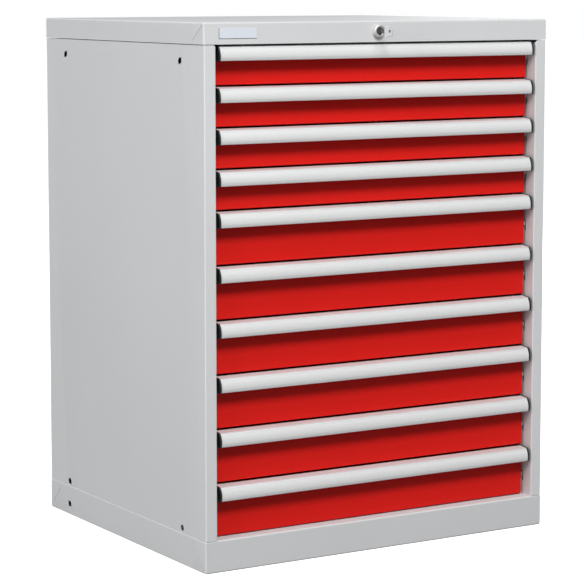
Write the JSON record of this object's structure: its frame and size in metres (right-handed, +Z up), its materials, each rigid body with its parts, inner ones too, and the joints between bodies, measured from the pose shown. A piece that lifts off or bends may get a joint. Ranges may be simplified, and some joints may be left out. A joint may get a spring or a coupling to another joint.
{
  "type": "drawer cabinet",
  "caption": "Stationary sheet-steel cabinet on a plinth with a stack of wide full-extension drawers, full-width aluminium handles, a top cover and a central key lock with a locking bar.",
  "frame": {"origin": "middle of the footprint on the floor, the key that stands out of the lock included", "axes": "+X to the right across the front, +Y from the drawer fronts to the back, +Z up"},
  "size_m": [0.762, 0.698, 1],
  "materials": {
    "housing_paint": "light grey powder coat, satin",
    "tray_paint": "light grey powder coat, satin",
    "front_paint": "red powder coat, satin",
    "handle_aluminium": "satin anodised",
    "cap_plastic": "black, matt",
    "zinc_steel": "bright zinc plated",
    "lock_nickel": "nickel plated",
    "key_steel": "nickel plated"
  },
  "bodies": {
    "cabinet": {"left_side_wall": "housing_paint", "right_side_wall": "housing_paint", "back_panel": "housing_paint", "top_cover": "housing_paint", "base": "housing_paint", "cabinet_rails": "zinc_steel", "lock_housing": "lock_nickel"},
    "lock": {"lock_plug": "lock_nickel", "key": "key_steel"},
    "locking_bar": {"locking_bar": "zinc_steel"},
    "drawer_01": {"drawer_01_tray": "tray_paint", "drawer_01_front": "front_paint", "drawer_01_handle": "handle_aluminium", "drawer_01_end_caps": "cap_plastic"},
    "carriage_01": {"drawer_01_carriages": "zinc_steel"},
    "drawer_02": {"drawer_02_tray": "tray_paint", "drawer_02_front": "front_paint", "drawer_02_handle": "handle_aluminium", "drawer_02_end_caps": "cap_plastic"},
    "carriage_02": {"drawer_02_carriages": "zinc_steel"},
    "drawer_03": {"drawer_03_tray": "tray_paint", "drawer_03_front": "front_paint", "drawer_03_handle": "handle_aluminium", "drawer_03_end_caps": "cap_plastic"},
    "carriage_03": {"drawer_03_carriages": "zinc_steel"},
    "drawer_04": {"drawer_04_tray": "tray_paint", "drawer_04_front": "front_paint", "drawer_04_handle": "handle_aluminium", "drawer_04_end_caps": "cap_plastic"},
    "carriage_04": {"drawer_04_carriages": "zinc_steel"},
    "drawer_05": {"drawer_05_tray": "tray_paint", "drawer_05_front": "front_paint", "drawer_05_handle": "handle_aluminium", "drawer_05_end_caps": "cap_plastic"},
    "carriage_05": {"drawer_05_carriages": "zinc_steel"},
    "drawer_06": {"drawer_06_tray": "tray_paint", "drawer_06_front": "front_paint", "drawer_06_handle": "handle_aluminium", "drawer_06_end_caps": "cap_plastic"},
    "carriage_06": {"drawer_06_carriages": "zinc_steel"},
    "drawer_07": {"drawer_07_tray": "tray_paint", "drawer_07_front": "front_paint", "drawer_07_handle": "handle_aluminium", "drawer_07_end_caps": "cap_plastic"},
    "carriage_07": {"drawer_07_carriages": "zinc_steel"},
    "drawer_08": {"drawer_08_tray": "tray_paint", "drawer_08_front": "front_paint", "drawer_08_handle": "handle_aluminium", "drawer_08_end_caps": "cap_plastic"},
    "carriage_08": {"drawer_08_carriages": "zinc_steel"},
    "drawer_09": {"drawer_09_tray": "tray_paint", "drawer_09_front": "front_paint", "drawer_09_handle": "handle_aluminium", "drawer_09_end_caps": "cap_plastic"},
    "carriage_09": {"drawer_09_carriages": "zinc_steel"},
    "drawer_10": {"drawer_10_tray": "tray_paint", "drawer_10_front": "front_paint", "drawer_10_handle": "handle_aluminium", "drawer_10_end_caps": "cap_plastic"},
    "carriage_10": {"drawer_10_carriages": "zinc_steel"}
  },
  "joints": [
    {"name": "lock_turn", "type": "hinge", "parent": "cabinet", "child": "lock", "pos_m": [-0.01, -0.301, 0.981], "axis": [0, 1, 0], "range_deg": [0, 90]},
    {"name": "bar_drop", "type": "slide", "parent": "cabinet", "child": "locking_bar", "axis": [0, 0, -1], "range_m": [0, 0.008]},
    {"name": "drawer_01_slide", "type": "slide", "parent": "cabinet", "child": "drawer_01", "axis": [0, -1, 0], "range_m": [0, 0.6]},
    {"name": "carriage_01_slide", "type": "slide", "parent": "cabinet", "child": "carriage_01", "axis": [0, -1, 0], "range_m": [0, 0.3]},
    {"name": "drawer_02_slide", "type": "slide", "parent": "cabinet", "child": "drawer_02", "axis": [0, -1, 0], "range_m": [0, 0.6]},
    {"name": "carriage_02_slide", "type": "slide", "parent": "cabinet", "child": "carriage_02", "axis": [0, -1, 0], "range_m": [0, 0.3]},
    {"name": "drawer_03_slide", "type": "slide", "parent": "cabinet", "child": "drawer_03", "axis": [0, -1, 0], "range_m": [0, 0.6]},
    {"name": "carriage_03_slide", "type": "slide", "parent": "cabinet", "child": "carriage_03", "axis": [0, -1, 0], "range_m": [0, 0.3]},
    {"name": "drawer_04_slide", "type": "slide", "parent": "cabinet", "child": "drawer_04", "axis": [0, -1, 0], "range_m": [0, 0.6]},
    {"name": "carriage_04_slide", "type": "slide", "parent": "cabinet", "child": "carriage_04", "axis": [0, -1, 0], "range_m": [0, 0.3]},
    {"name": "drawer_05_slide", "type": "slide", "parent": "cabinet", "child": "drawer_05", "axis": [0, -1, 0], "range_m": [0, 0.6]},
    {"name": "carriage_05_slide", "type": "slide", "parent": "cabinet", "child": "carriage_05", "axis": [0, -1, 0], "range_m": [0, 0.3]},
    {"name": "drawer_06_slide", "type": "slide", "parent": "cabinet", "child": "drawer_06", "axis": [0, -1, 0], "range_m": [0, 0.6]},
    {"name": "carriage_06_slide", "type": "slide", "parent": "cabinet", "child": "carriage_06", "axis": [0, -1, 0], "range_m": [0, 0.3]},
    {"name": "drawer_07_slide", "type": "slide", "parent": "cabinet", "child": "drawer_07", "axis": [0, -1, 0], "range_m": [0, 0.6]},
    {"name": "carriage_07_slide", "type": "slide", "parent": "cabinet", "child": "carriage_07", "axis": [0, -1, 0], "range_m": [0, 0.3]},
    {"name": "drawer_08_slide", "type": "slide", "parent": "cabinet", "child": "drawer_08", "axis": [0, -1, 0], "range_m": [0, 0.6]},
    {"name": "carriage_08_slide", "type": "slide", "parent": "cabinet", "child": "carriage_08", "axis": [0, -1, 0], "range_m": [0, 0.3]},
    {"name": "drawer_09_slide", "type": "slide", "parent": "cabinet", "child": "drawer_09", "axis": [0, -1, 0], "range_m": [0, 0.6]},
    {"name": "carriage_09_slide", "type": "slide", "parent": "cabinet", "child": "carriage_09", "axis": [0, -1, 0], "range_m": [0, 0.3]},
    {"name": "drawer_10_slide", "type": "slide", "parent": "cabinet", "child": "drawer_10", "axis": [0, -1, 0], "range_m": [0, 0.6]},
    {"name": "carriage_10_slide", "type": "slide", "parent": "cabinet", "child": "carriage_10", "axis": [0, -1, 0], "range_m": [0, 0.3]}
  ],
  "couplings": [
    {"joint": "lock_turn", "follows": "bar_drop", "rad_per_m": 196.34},
    {"joint": "carriage_01_slide", "follows": "drawer_01_slide", "ratio": 0.5},
    {"joint": "carriage_02_slide", "follows": "drawer_02_slide", "ratio": 0.5},
    {"joint": "carriage_03_slide", "follows": "drawer_03_slide", "ratio": 0.5},
    {"joint": "carriage_04_slide", "follows": "drawer_04_slide", "ratio": 0.5},
    {"joint": "carriage_05_slide", "follows": "drawer_05_slide", "ratio": 0.5},
    {"joint": "carriage_06_slide", "follows": "drawer_06_slide", "ratio": 0.5},
    {"joint": "carriage_07_slide", "follows": "drawer_07_slide", "ratio": 0.5},
    {"joint": "carriage_08_slide", "follows": "drawer_08_slide", "ratio": 0.5},
    {"joint": "carriage_09_slide", "follows": "drawer_09_slide", "ratio": 0.5},
    {"joint": "carriage_10_slide", "follows": "drawer_10_slide", "ratio": 0.5}
  ]
}
